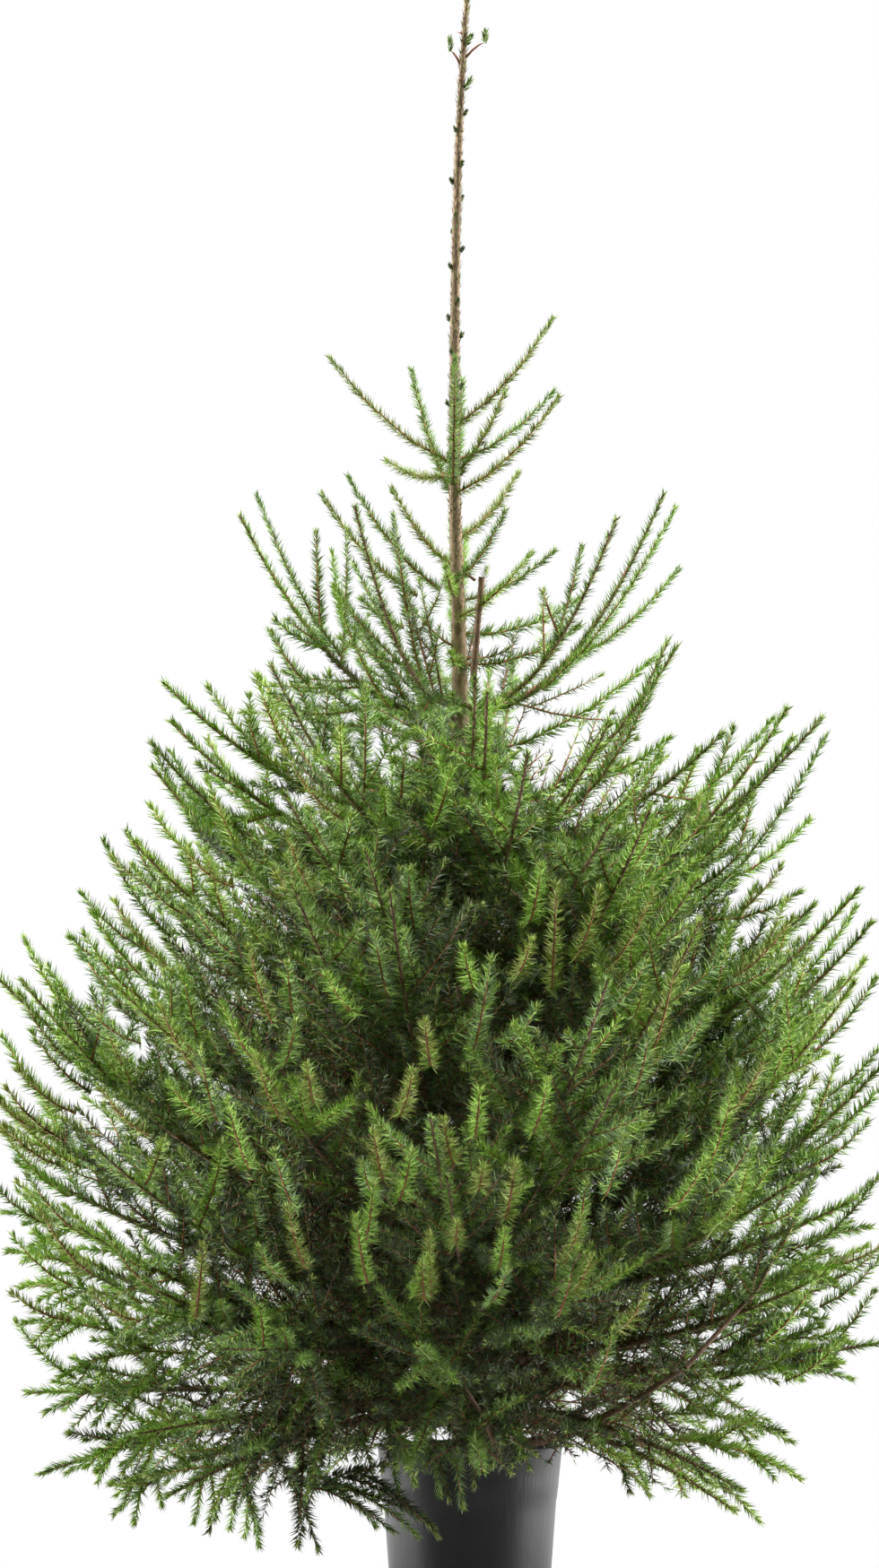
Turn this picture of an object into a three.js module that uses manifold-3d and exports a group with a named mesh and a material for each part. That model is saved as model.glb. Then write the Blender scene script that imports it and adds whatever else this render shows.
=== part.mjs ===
// A potted Norway spruce grown as a Christmas tree: a dark nursery pot with its compost, one trunk with
// a long bare leader, and twelve tiers of branches that carry toothed sprays of needles.
// Millimetres, +Z up, origin at the centre of the pot's underside. The side in view faces -Y.

import * as THREE from "three";
import { mergeVertices } from "three/addons/utils/BufferGeometryUtils.js";
import Module from "manifold-3d";

const wasm = await Module();
wasm.setup();

const UP = new THREE.Vector3(0, 0, 1);
const NO_CURL = 1e6;

// Gap between pieces that meet on the real plant
const CLEAR = 0.3;

// Nursery pot: a tapered tub with a slightly wider collar below its rim
const POT_HEIGHT = 220;
const POT_RIM_RADIUS = 113;
const POT_BASE_RADIUS = 95;
const POT_WALL = 2.5;
const POT_FLOOR = 4;
const POT_EDGE = 3;
const RIM_ROUND = 1;
const COLLAR_HEIGHT = 52;
const COLLAR_STEP = 2.5;
const POT_SIDES = 32;

// Compost: level round the trunk, then falling a little to the wall
const SOIL_BELOW_RIM = 14;
const SOIL_LEVEL = POT_HEIGHT - SOIL_BELOW_RIM;
const SOIL_FALL = 6;
const SOIL_FLAT_RADIUS = 45;

// Trunk: flat cut on the compost, root flare, even taper to the top whorl, then the thin leader
const TRUNK_FOOT = SOIL_LEVEL + CLEAR;
const TRUNK_RADIUS = 19;
const FLARE = 8;
const FLARE_HEIGHT = 26;
const WHORL_HEIGHT = 1390;
const WHORL_RADIUS = 7;
const LEADER_TIP = 2103;
const LEADER_TIP_RADIUS = 2.2;
const TRUNK_LEAN = -19;
const LEADER_RETURN = 25;
const TRUNK_SIDES = 10;
const TRUNK_RINGS = 18;
const RING_CROWDING = 1.6;

// Tiers from the leader down: height on the trunk, number of branches, bearing of the first in degrees
// from +X, reach from the trunk, share by which the left side (-X) reaches further, lift of the tip
// and how much that varies, and the root radius.
const TIERS = [
  { height: 1405, count: 5, bearing: 190, reach: 140, left: 0.2, lift: 165, vary: 25, root: 2.6 },
  { height: 1315, count: 3, bearing: 172, reach: 145, left: 0.3, lift: 90, vary: 25, root: 2.8 },
  { height: 1125, count: 5, bearing: 20, reach: 270, left: 0.02, lift: 240, vary: 25, root: 4 },
  { height: 1000, count: 4, bearing: 176, reach: 310, left: 0.14, lift: 170, vary: 30, root: 4.4 },
  { height: 885, count: 4, bearing: 12, reach: 415, left: -0.04, lift: 210, vary: 25, root: 5 },
  { height: 770, count: 4, bearing: 212, reach: 450, left: 0.02, lift: 220, vary: 30, root: 5.4 },
  { height: 650, count: 4, bearing: 345, reach: 485, left: -0.02, lift: 240, vary: 35, root: 5.8 },
  { height: 540, count: 4, bearing: 200, reach: 550, left: 0.05, lift: 255, vary: 35, root: 6.2 },
  { height: 445, count: 4, bearing: 172, reach: 565, left: 0.07, lift: 215, vary: 40, root: 6.5 },
  { height: 365, count: 4, bearing: 205, reach: 570, left: 0.06, lift: 120, vary: 40, root: 6.8 },
  { height: 303, count: 4, bearing: 178, reach: 535, left: 0.06, lift: 20, vary: 40, root: 7 },
  { height: 258, count: 4, bearing: 215, reach: 470, left: 0.08, lift: -85, vary: 25, root: 7 },
];
// Low down, every second branch lets its twigs hang, and those that droop all do. The lowest tiers start
// with a share of bare wood.
const HANG_FROM_TIER = 10;
const BARE_FROM_TIER = 11;
const BARE_SHARE = 0.16;
const BEARING_JITTER = 14;
const REACH_JITTER = 0.05;
const HEIGHT_JITTER = 0.03;
const SWAY = 0.06;
const BEND_POWER = 2.4;
const BOUGH_SIDES = 6;
const BOUGH_STEP = 60;
const TIER_SEED = 9001;
const BRANCH_SEED = 131;

// A branch's foliage is one thin frond: a stem, side twigs and a leading shoot, all edged with teeth for
// needles. It follows the branch, and its sides curl up, or hang on some of the low branches.
const FROND_THICKNESS_SHARE = 0.01;
const FROND_LEAST_THICKNESS = 2.5;
const CURL_RADIUS = 260;
const HANG_RADIUS = -300;
const STEM_TIP = 1.6;
const TWIG_SPACING = 95;
const TWIG_FIRST = 0.08;
const TWIG_PLACE = 0.3;
const TWIG_ALTERNATE = 0.2;
const TWIG_PLACE_JITTER = 0.15;
const TWIG_ROOM = 24;
const TWIG_TRIES = [1, 0.75, 0.5];
const TWIG_SHARE = 0.8;
const TWIG_LEAST = 60;
const TWIG_MOST_SHARE = 0.55;
const TWIG_ANGLE = 50;
const TWIG_ANGLE_JITTER = 6;
const TWIG_WIDTH_SHARE = 0.3;
const TWIG_WIDTH_OF_SPACING = 0.72;
const LEADING_LENGTH = 150;
const LEADING_MOST = 0.72;
const LEADING_WIDTH = 34;
const TOOTH_LENGTH = 74;
const MOST_TEETH = 4;
const TOOTH_LEAN = 0.75;
const TOOTH_VALLEY = 0.34;
const SWELL_FROM = 0.16;
const SWELL_SPAN = 0.78;
const TWIG_GAP = 1;

const MATERIALS = {
  pot: new THREE.MeshStandardMaterial({ color: 0x2b2b2d, roughness: 0.5, metalness: 0 }),
  soil: new THREE.MeshStandardMaterial({ color: 0x2d2119, roughness: 0.95, metalness: 0 }),
  bark: new THREE.MeshStandardMaterial({ color: 0x755c42, roughness: 0.9, metalness: 0 }),
  needles: new THREE.MeshStandardMaterial({ color: 0x44692c, roughness: 0.6, metalness: 0 }),
};

// Repeatable random numbers from 0 to 1 by the multiply and remainder rule
function seeded(seed) {
  const multiplier = 48271;
  const modulus = 2 ** 31 - 1;
  let state = seed;
  return () => {
    state = (state * multiplier) % modulus;
    return state / modulus;
  };
}

function spread(random, amount) {
  return (2 * random() - 1) * amount;
}

// A closed geometry as a solid, its shared corners merged and its collapsed faces dropped
function solidOf(geometry) {
  geometry.deleteAttribute("normal");
  geometry.deleteAttribute("uv");
  const merged = mergeVertices(geometry);
  const corners = merged.index.array;
  const faces = [];
  for (let i = 0; i < corners.length; i += 3) {
    const [a, b, c] = corners.slice(i, i + 3);
    if (a !== b && b !== c && c !== a) faces.push(a, b, c);
  }
  return new wasm.Manifold(
    new wasm.Mesh({
      numProp: 3,
      vertProperties: merged.attributes.position.array,
      triVerts: new Uint32Array(faces),
    }),
  );
}

function geometryOf(solid) {
  const { vertProperties, triVerts } = solid.getMesh();
  const geometry = new THREE.BufferGeometry();
  geometry.setAttribute("position", new THREE.BufferAttribute(vertProperties, 3));
  geometry.setIndex(new THREE.BufferAttribute(triVerts, 1));
  return geometry;
}

function meshOf(name, solid, material) {
  const mesh = new THREE.Mesh(geometryOf(solid), material);
  mesh.name = name;
  return mesh;
}

// A profile of [radius, height] pairs turned about the Z axis
function turned(profile, sides) {
  const points = profile.map(([radius, height]) => new THREE.Vector2(radius, height));
  return new THREE.LatheGeometry(points, sides).rotateX(Math.PI / 2);
}

// Moves a geometry onto a curve: y becomes millimetres along it, x goes to its level side, z across. The
// x direction wraps round a cylinder of the curl radius, so that the sides turn up.
function bendAlong(geometry, curve, curl) {
  const position = geometry.getAttribute("position");
  const length = curve.getLength();
  for (let i = 0; i < position.count; i++) {
    const share = THREE.MathUtils.clamp(position.getY(i) / length, 0, 1);
    const tangent = curve.getTangentAt(share);
    const side = new THREE.Vector3().crossVectors(tangent, UP).normalize();
    const across = new THREE.Vector3().crossVectors(side, tangent);
    const turn = position.getX(i) / curl;
    const moved = curve.getPointAt(share);
    moved.addScaledVector(side, (curl - position.getZ(i)) * Math.sin(turn));
    moved.addScaledVector(across, curl - (curl - position.getZ(i)) * Math.cos(turn));
    position.setXYZ(i, moved.x, moved.y, moved.z);
  }
  return geometry;
}

function potSolid() {
  const collarFoot = POT_HEIGHT - COLLAR_HEIGHT;
  return solidOf(
    turned(
      [
        [0, 0],
        [POT_BASE_RADIUS - POT_EDGE, 0],
        [bodyRadius(POT_EDGE), POT_EDGE],
        [bodyRadius(collarFoot), collarFoot],
        [bodyRadius(collarFoot) + COLLAR_STEP, collarFoot + COLLAR_STEP],
        [POT_RIM_RADIUS, POT_HEIGHT - RIM_ROUND],
        [POT_RIM_RADIUS - RIM_ROUND, POT_HEIGHT],
        [POT_RIM_RADIUS - POT_WALL, POT_HEIGHT],
        [innerPotRadius(POT_HEIGHT - POT_EDGE), POT_HEIGHT - POT_EDGE],
        [innerPotRadius(POT_FLOOR), POT_FLOOR],
        [0, POT_FLOOR],
      ],
      POT_SIDES,
    ),
  );
}

// Radius of the tub below its collar, and of its inside
function bodyRadius(height) {
  const slope = (POT_RIM_RADIUS - COLLAR_STEP - POT_BASE_RADIUS) / POT_HEIGHT;
  return POT_BASE_RADIUS + slope * height;
}

function innerPotRadius(height) {
  return bodyRadius(height) - POT_WALL;
}

function soilSolid() {
  const foot = POT_FLOOR + CLEAR;
  const edge = SOIL_LEVEL - SOIL_FALL;
  return solidOf(
    turned(
      [
        [0, foot],
        [innerPotRadius(foot) - 2 * CLEAR, foot],
        [innerPotRadius(edge) - 2 * CLEAR, edge],
        [SOIL_FLAT_RADIUS, SOIL_LEVEL],
        [0, SOIL_LEVEL],
      ],
      POT_SIDES,
    ),
  );
}

// The trunk's middle leans left up to the top whorl, and the leader curves back
function trunkOffset(height) {
  const below = THREE.MathUtils.clamp((height - TRUNK_FOOT) / (WHORL_HEIGHT - TRUNK_FOOT), 0, 1);
  const above = THREE.MathUtils.clamp((height - WHORL_HEIGHT) / (LEADER_TIP - WHORL_HEIGHT), 0, 1);
  return TRUNK_LEAN * below ** 2 + LEADER_RETURN * above ** 3;
}

function trunkRadius(height) {
  const flare = FLARE * Math.exp((TRUNK_FOOT - height) / FLARE_HEIGHT);
  if (height < WHORL_HEIGHT) {
    return flare + THREE.MathUtils.mapLinear(height, TRUNK_FOOT, WHORL_HEIGHT, TRUNK_RADIUS, WHORL_RADIUS);
  }
  return THREE.MathUtils.mapLinear(height, WHORL_HEIGHT, LEADER_TIP, WHORL_RADIUS, LEADER_TIP_RADIUS);
}

// The whole trunk from its flat cut to the leader's tip, grown all round by extra. Its rings stand
// closest together at the root flare.
function trunkSolid(extra = 0) {
  const profile = [[0, TRUNK_FOOT]];
  for (let i = 0; i <= TRUNK_RINGS; i++) {
    const height = THREE.MathUtils.lerp(TRUNK_FOOT, LEADER_TIP, (i / TRUNK_RINGS) ** RING_CROWDING);
    profile.push([trunkRadius(height) + extra, height]);
  }
  profile.push([0, LEADER_TIP]);
  const geometry = turned(profile, TRUNK_SIDES);
  const position = geometry.getAttribute("position");
  for (let i = 0; i < position.count; i++) {
    position.setX(i, position.getX(i) + trunkOffset(position.getZ(i)));
  }
  return solidOf(geometry);
}

// A branch leaves the trunk nearly level, swings a little to one side and turns up towards its tip
class BranchCurve extends THREE.Curve {
  constructor(height, bearing, reach, lift, sway) {
    super();
    this.root = new THREE.Vector3(trunkOffset(height), 0, height);
    this.out = new THREE.Vector3(Math.cos(bearing), Math.sin(bearing), 0);
    this.aside = new THREE.Vector3(-this.out.y, this.out.x, 0);
    Object.assign(this, { reach, lift, sway });
  }

  getPoint(t) {
    const point = this.root.clone().addScaledVector(this.out, this.reach * t);
    point.addScaledVector(this.aside, this.sway * this.reach * t * t);
    point.z += this.lift * t ** BEND_POWER;
    return point;
  }

  getTangent(t) {
    const tangent = this.out.clone().multiplyScalar(this.reach);
    tangent.addScaledVector(this.aside, 2 * this.sway * this.reach * t);
    tangent.z += BEND_POWER * this.lift * t ** (BEND_POWER - 1);
    return tangent.normalize();
  }
}

function branchesOf(tier, number) {
  return Array.from({ length: tier.count }, (_, k) => {
    const random = seeded(TIER_SEED * number + BRANCH_SEED * (k + 1));
    random();
    const turn = tier.bearing + (360 * k) / tier.count + spread(random, BEARING_JITTER);
    const bearing = THREE.MathUtils.degToRad(turn);
    const reach = tier.reach * (1 - tier.left * Math.cos(bearing)) * (1 + spread(random, REACH_JITTER));
    const lift = tier.lift + spread(random, tier.vary);
    const height = tier.height + spread(random, HEIGHT_JITTER * tier.reach);
    const curve = new BranchCurve(height, bearing, reach, lift, spread(random, SWAY));
    const length = curve.getLength();
    const leading = length - Math.min(LEADING_LENGTH, LEADING_MOST * length);
    const hangs = tier.lift < 0 || (number >= HANG_FROM_TIER && k % 2 === 0);
    const curl = hangs ? HANG_RADIUS : CURL_RADIUS;
    const start = number >= BARE_FROM_TIER ? BARE_SHARE * length : 0;
    return { label: `whorl_${number}`, index: k + 1, tier, curve, length, start, leading, curl, random };
  });
}

function stemRadius(branch, along) {
  return THREE.MathUtils.lerp(branch.tier.root, STEM_TIP, along / branch.length);
}

// The bare root of a branch, a tapering limb from the trunk's middle to where its foliage begins
function boughSolid(branch) {
  const { curve, start, tier } = branch;
  const steps = Math.max(2, Math.round(start / BOUGH_STEP));
  const bough = new THREE.CylinderGeometry(stemRadius(branch, start), tier.root, start, BOUGH_SIDES, steps);
  return solidOf(bendAlong(bough.translate(0, start / 2, 0), curve, NO_CURL));
}

// One toothed edge, as [along, out] pairs from the root to the point
function toothedEdge(root, length, width) {
  const teeth = THREE.MathUtils.clamp(Math.round((length - root) / TOOTH_LENGTH), 2, MOST_TEETH);
  const edge = [];
  for (let i = 0; i < teeth; i++) {
    const share = (i + TOOTH_LEAN) / teeth;
    const out = (width / 2) * Math.sqrt(Math.sin(Math.PI * (SWELL_FROM + SWELL_SPAN * share)));
    edge.push([THREE.MathUtils.lerp(root, length, i / teeth), TOOTH_VALLEY * out]);
    edge.push([THREE.MathUtils.lerp(root, length, share), out]);
  }
  return edge;
}

// A toothed edge and its twin on the other side, with the point they share, as a row of flat cells
function cellsBetween(edge, twin, point) {
  const cells = edge.slice(1).map((corner, i) => [edge[i], corner, twin[i + 1], twin[i]]);
  return [...cells, [edge.at(-1), point, twin.at(-1)]];
}

// Both edges and the point of a twig, on its own side of a flat frond
function twigEdges({ side, along, angle, length, width, stem }) {
  const [sin, cos] = [Math.sin(angle), Math.cos(angle)];
  const place = ([p, q]) => new THREE.Vector2(side * (p * sin + q * cos), along + p * cos - q * sin);
  const edge = toothedEdge((stem + (cos * TOOTH_VALLEY * width) / 2) / sin, length, width);
  const lower = edge.map(place);
  const upper = edge.map(([p, q]) => place([p, -q]));
  return { lower, upper, point: place([length, 0]) };
}

function twigCells(twig) {
  const { lower, upper, point } = twigEdges(twig);
  return cellsBetween(lower, upper, point);
}

// Side twigs by the seeded rule: alternate, longest near the trunk, leaning towards the branch's tip
function twigsOf(branch) {
  const { random, leading } = branch;
  const first = branch.start + TWIG_FIRST * branch.length;
  const last = leading - TWIG_ROOM;
  const pairs = Math.max(0, Math.round((last - first) / TWIG_SPACING));
  const twigs = [];
  for (let i = 0; i < pairs; i++) {
    for (const side of [1, -1]) {
      const place = i + TWIG_PLACE + TWIG_ALTERNATE * side + TWIG_PLACE_JITTER * random();
      const along = THREE.MathUtils.lerp(first, last, place / pairs);
      const most = TWIG_MOST_SHARE * branch.length;
      const length = Math.min(TWIG_SHARE * (branch.length - along) + TWIG_LEAST, most);
      const width = Math.min(TWIG_WIDTH_SHARE * length, TWIG_WIDTH_OF_SPACING * ((last - first) / pairs));
      const angle = THREE.MathUtils.degToRad(TWIG_ANGLE + spread(random, TWIG_ANGLE_JITTER));
      twigs.push({ side, along, angle, length, width, stem: stemRadius(branch, along) });
    }
  }
  return twigs;
}

// The leading shoot's edge on one side
function shootEdge(branch, side) {
  const edge = toothedEdge(branch.leading, branch.length, LEADING_WIDTH);
  return edge.map(([along, out]) => new THREE.Vector2(side * out, along));
}

function shootCells(branch) {
  return cellsBetween(shootEdge(branch, 1), shootEdge(branch, -1), new THREE.Vector2(0, branch.length));
}

// The stem's own cell, from root to root of the twigs up its right side and down its left
function stemCell(branch, twigs) {
  const from = branch.start + (branch.start ? CLEAR : 0);
  const [right, left] = [1, -1].map((side) => {
    const own = twigs.filter((twig) => twig.side === side).sort((a, b) => a.along - b.along);
    const roots = own.map(twigEdges).flatMap(({ lower, upper }) => [lower[0], upper[0]]);
    const foot = new THREE.Vector2(side * stemRadius(branch, from), from);
    return [foot, ...roots, shootEdge(branch, side)[0]];
  });
  return [...right, ...left.toReversed()];
}

function frondCells(branch, twigs) {
  return [stemCell(branch, twigs), ...twigs.flatMap(twigCells), ...shootCells(branch)];
}

// Flat cells that share edges, made into one plate: the walls that two cells share are left out
function plateOf(cells, depth) {
  const shapes = cells.map((cell) => new THREE.Shape(cell));
  const plate = new THREE.ExtrudeGeometry(shapes, { depth, bevelEnabled: false });
  const position = plate.getAttribute("position");
  const walls = new Map();
  const faces = [];
  for (let i = 0; i < position.count; i += 3) {
    const corners = [i, i + 1, i + 2];
    const columns = corners.map((c) => `${position.getX(c).toFixed(3)} ${position.getY(c).toFixed(3)}`);
    const wall = [...new Set(columns)].sort();
    const key = wall.join(" to ");
    if (wall.length === 2) walls.set(key, (walls.get(key) ?? 0) + 1);
    faces.push({ corners, key });
  }
  const kept = faces.filter(({ key }) => (walls.get(key) ?? 0) <= 2).flatMap(({ corners }) => corners);
  const points = kept.map((c) => new THREE.Vector3().fromBufferAttribute(position, c));
  return new THREE.BufferGeometry().setFromPoints(points);
}

function frondSolid(branch, cells) {
  const depth = Math.max(FROND_LEAST_THICKNESS, FROND_THICKNESS_SHARE * branch.length);
  const plate = plateOf(cells, depth).translate(0, 0, -depth / 2);
  return solidOf(bendAlong(plate, branch.curve, branch.curl));
}

function boxesMeet(a, b, gap) {
  return [0, 1, 2].every((i) => a.min[i] - gap < b.max[i] && b.min[i] - gap < a.max[i]);
}

// Whether a solid keeps a gap from every one of the others
function isClear(solid, others, gap) {
  const box = solid.boundingBox();
  const near = others.filter((other) => boxesMeet(box, other.boundingBox(), gap));
  return near.every((other) => solid.minGap(other, gap) >= gap);
}

const tree = new THREE.Group();
const container = new THREE.Group();
const wood = new THREE.Group();
const foliage = new THREE.Group();
tree.add(container, wood, foliage);

const pot = potSolid();
const soil = soilSolid();
const trunk = trunkSolid();
container.add(meshOf("pot", pot, MATERIALS.pot), meshOf("soil", soil, MATERIALS.soil));
wood.add(meshOf("trunk", trunk, MATERIALS.bark));

// Limbs first: a bare bough where the tier has one, and each frond's stem with its leading shoot
const trunkRoom = trunkSolid(CLEAR);
const branches = TIERS.flatMap((tier, i) => branchesOf(tier, i + 1));
const placed = [pot, soil, trunk];
for (const branch of branches) {
  if (branch.start > 0) {
    const bough = boughSolid(branch).subtract(trunkRoom);
    wood.add(meshOf(`${branch.label}_bough_${branch.index}`, bough, MATERIALS.bark));
    placed.push(bough);
  }
  branch.stem = frondSolid(branch, frondCells(branch, []));
  branch.shoot = frondSolid(branch, shootCells(branch));
}

// Then each branch in turn adds its next twig, at the greatest length that keeps clear of all the rest
const twigs = [];
const growing = branches.map((branch) => ({ branch, waiting: twigsOf(branch), grown: [] }));
while (growing.some(({ waiting }) => waiting.length)) {
  for (const { branch, waiting, grown } of growing.filter((one) => one.waiting.length)) {
    const twig = waiting.shift();
    const stems = branches.map((other) => (other === branch ? branch.shoot : other.stem));
    for (const scale of TWIG_TRIES) {
      const tried = { ...twig, length: scale * twig.length };
      const solid = frondSolid(branch, twigCells(tried));
      if (isClear(solid, [...placed, ...stems, ...twigs], TWIG_GAP)) {
        grown.push(tried);
        twigs.push(solid);
        break;
      }
    }
  }
}

// Each finished frond is seated on the trunk, and gives up its last twigs if it touches another frond
const fronds = [];
for (const { branch, grown } of growing) {
  const seated = () => {
    const frond = frondSolid(branch, frondCells(branch, grown));
    return branch.start > 0 ? frond : frond.subtract(trunkRoom);
  };
  let frond = seated();
  while (grown.length && !isClear(frond, fronds, CLEAR)) {
    grown.pop();
    frond = seated();
  }
  fronds.push(frond);
  foliage.add(meshOf(`${branch.label}_foliage_${branch.index}`, frond, MATERIALS.needles));
}

export default tree;
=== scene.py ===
"""The looks of a potted Norway spruce, in metres, +Z up, from the centre of the pot's underside.

The limbs grow by the solids' seeded rule, and are carried on to finer twigs and needles.
"""

import math
from collections import namedtuple

import bpy
import numpy as np
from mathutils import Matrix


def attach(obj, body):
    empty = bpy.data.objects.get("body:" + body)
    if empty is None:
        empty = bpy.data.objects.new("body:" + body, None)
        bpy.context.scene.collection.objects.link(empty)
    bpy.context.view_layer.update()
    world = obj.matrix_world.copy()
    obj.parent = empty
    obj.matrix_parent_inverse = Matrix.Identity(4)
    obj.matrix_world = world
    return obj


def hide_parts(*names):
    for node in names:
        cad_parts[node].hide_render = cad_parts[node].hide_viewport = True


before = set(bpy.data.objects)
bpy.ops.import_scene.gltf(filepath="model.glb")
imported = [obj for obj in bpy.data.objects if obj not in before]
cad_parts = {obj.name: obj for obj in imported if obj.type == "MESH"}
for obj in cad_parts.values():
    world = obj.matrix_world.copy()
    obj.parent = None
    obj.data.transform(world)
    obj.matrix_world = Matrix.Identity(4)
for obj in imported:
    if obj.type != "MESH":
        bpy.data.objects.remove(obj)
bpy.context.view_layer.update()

UP = np.array([0.0, 0.0, 1.0])
TO_CAMERA = (0.0, -1.0, 0.0)
# Degrees from one shoot or bud to the next one up the trunk
SPIRAL_TURN = 137.5

# The photograph's frame: its size, a pixel at the trunk in metres, the pot's axis and the floor's line
PHOTO_WIDTH = 980
PHOTO_HEIGHT = 1749
PIXEL = 0.0011
AXIS_PIXEL = 524
FLOOR_PIXEL = 1812
CAMERA_DISTANCE = 13.0
CAMERA_END = 39.0

# Light from the surround: place from the camera's side to the far side, and strength there
LIGHT_CURVE = [(0.00, 0.04), (0.26, 0.12), (0.37, 4.0), (0.47, 6.8), (0.62, 5.2), (1.00, 1.2)]
LIGHT_TOP = 8.0
# Share by which light from straight above is stronger
LIGHT_ABOVE = 0.45
WHITE = (1, 1, 1, 1)

# The floor, a flat ring with a pinhole at its centre
FLOOR_RADIUS = 0.9
FLOOR_CENTRE = 0.002
FLOOR_DROP = 0.0005
FLOOR_SIDES = 96

# Plain materials, and patterned ones with two colours mixed by noise
Finish = namedtuple("Finish", "colour roughness specular")
FLOOR_PAPER = Finish((0.30, 0.30, 0.30), 0.9, 0.0)
TWIG_WOOD = Finish((0.270, 0.120, 0.062), 0.7, 0.2)
NEEDLE_SHEEN = (0.45, 0.35)
Pattern = namedtuple("Pattern", "dark light scale stretch roughness bump")
POT_PLASTIC = Pattern((0.0024, 0.0023, 0.0021), (0.0075, 0.0073, 0.0068), 55, 0.12, 0.40, 0.35)
COMPOST = Pattern((0.012, 0.008, 0.005), (0.060, 0.038, 0.024), 160, 1, 0.95, 0.6)
TRUNK_BARK = Pattern((0.150, 0.095, 0.055), (0.420, 0.300, 0.190), 130, 0.35, 0.85, 0.8)
BOUGH_BARK = Pattern((0.120, 0.068, 0.042), (0.300, 0.185, 0.115), 160, 0.6, 0.85, 0.7)
PATTERN_ENDS = (0.35, 0.68)
NOISE_DETAIL = 6
NOISE_ROUGHNESS = 0.65
# The bump's noise is finer by this factor
BUMP_FINER = 4
BUMP_DETAIL = 4
BUMP_DEPTH = 0.001

# Pot, as in the solids
POT_HEIGHT = 0.220
POT_RIM_RADIUS = 0.113
POT_BASE_RADIUS = 0.095
POT_WALL = 0.0025
POT_EDGE = 0.003
COLLAR_HEIGHT = 0.052
COLLAR_STEP = 0.0025
POT_SIDES = 128
# Its profile: from the base, from the collar's foot in shares of its step, and from the rim
POT_CENTRE = 0.001
BASE_RECESS = 0.0025
FOOT = [(-0.016, BASE_RECESS), (-0.012, 0.0), (-POT_EDGE, 0.0), (-0.0008, 0.0009)]
LEDGE = [(0.05, -0.010), (0.42, -0.001), (0.58, 0.001), (0.95, 0.012)]
RIM = [(0.0, -0.0030), (0.0004, -0.0016), (-0.0004, -0.0002), (-0.0014, 0.0), (-POT_WALL, -0.0010)]
WALL_POINTS = 12
WALL_BELOW_COLLAR = 0.016
INSIDE_BELOW_RIM = 0.004
INSIDE_BELOW_SOIL = 0.02

# Compost, as in the solids: flat up to a share of its radius, then falling to the wall
SOIL_LEVEL = 0.206
SOIL_FALL = 0.006
SOIL_FLAT = 0.4
SOIL_CENTRE = 0.004
SOIL_GAP = 0.0005
SOIL_RINGS = 26
SOIL_SECTORS = 84
SOIL_ROUGHNESS = 0.0022

# Trunk, as in the solids
TRUNK_FOOT = 0.2063
TRUNK_RADIUS = 0.019
FLARE = 0.008
FLARE_HEIGHT = 0.026
WHORL_HEIGHT = 1.390
WHORL_RADIUS = 0.007
LEADER_TIP = 2.103
LEADER_TIP_RADIUS = 0.0022
TRUNK_LEAN = -0.019
LEADER_RETURN = 0.025
TRUNK_SIDES = 28
TRUNK_RINGS = 420
# Rings stand closer near the foot
RING_POWER = 1.15
# The bark's relief is a sum of ridges that wind round the trunk
RIDGES = 14
RIDGE_WAVES = (2, 9)
RIDGE_PITCH = (60, 420)
RIDGE_PHASE = (0, 6.28)
RIDGE_MEAN = 0.64
RIDGE_DEPTH = 0.018

# Tiers from the top down, as in the solids: height, branches, bearing of the first in degrees, reach,
# share by which the left side reaches further, lift of the tip, its spread, root radius
Tier = namedtuple("Tier", "height count bearing reach left lift vary root")
TIERS = [
    Tier(1.405, 5, 190, 0.140, 0.20, 0.165, 0.025, 0.0026),
    Tier(1.315, 3, 172, 0.145, 0.30, 0.090, 0.025, 0.0028),
    Tier(1.125, 5, 20, 0.270, 0.02, 0.240, 0.025, 0.0040),
    Tier(1.000, 4, 176, 0.310, 0.14, 0.170, 0.030, 0.0044),
    Tier(0.885, 4, 12, 0.415, -0.04, 0.210, 0.025, 0.0050),
    Tier(0.770, 4, 212, 0.450, 0.02, 0.220, 0.030, 0.0054),
    Tier(0.650, 4, 345, 0.485, -0.02, 0.240, 0.035, 0.0058),
    Tier(0.540, 4, 200, 0.550, 0.05, 0.255, 0.035, 0.0062),
    Tier(0.445, 4, 172, 0.565, 0.07, 0.215, 0.040, 0.0065),
    Tier(0.365, 4, 205, 0.570, 0.06, 0.120, 0.040, 0.0068),
    Tier(0.303, 4, 178, 0.535, 0.06, 0.020, 0.040, 0.0070),
    Tier(0.258, 4, 215, 0.470, 0.08, -0.085, 0.025, 0.0070),
]
HANG_FROM_TIER = 10
BARE_FROM_TIER = 11
BEARING_JITTER = 14
REACH_JITTER = 0.05
HEIGHT_JITTER = 0.03
SWAY = 0.06
BEND_POWER = 2.4
TIER_SEED = 9001
BRANCH_SEED = 131
SEED_FACTOR = 48271
SEED_RANGE = 2**31 - 1
STEM_TIP = 0.0016
BOUGH_SIDES = 8
BOUGH_RINGS = 30
BOUGH_ROUGHNESS = 0.14
# A limb's end without side shoots: its length, and the most it takes of the limb
LEADING_LENGTH = 0.150
LEADING_MOST = 0.72
NEEDLES_FROM = 0.2

# The top tiers are shoots placed one by one. Halfway between lower tiers stand lesser limbs
LIMBS_FIRST = 3
BETWEEN_FIRST = 4
BETWEEN_COUNT = 8
BETWEEN_REACH = 0.94
BETWEEN_VARY = 0.075

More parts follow.
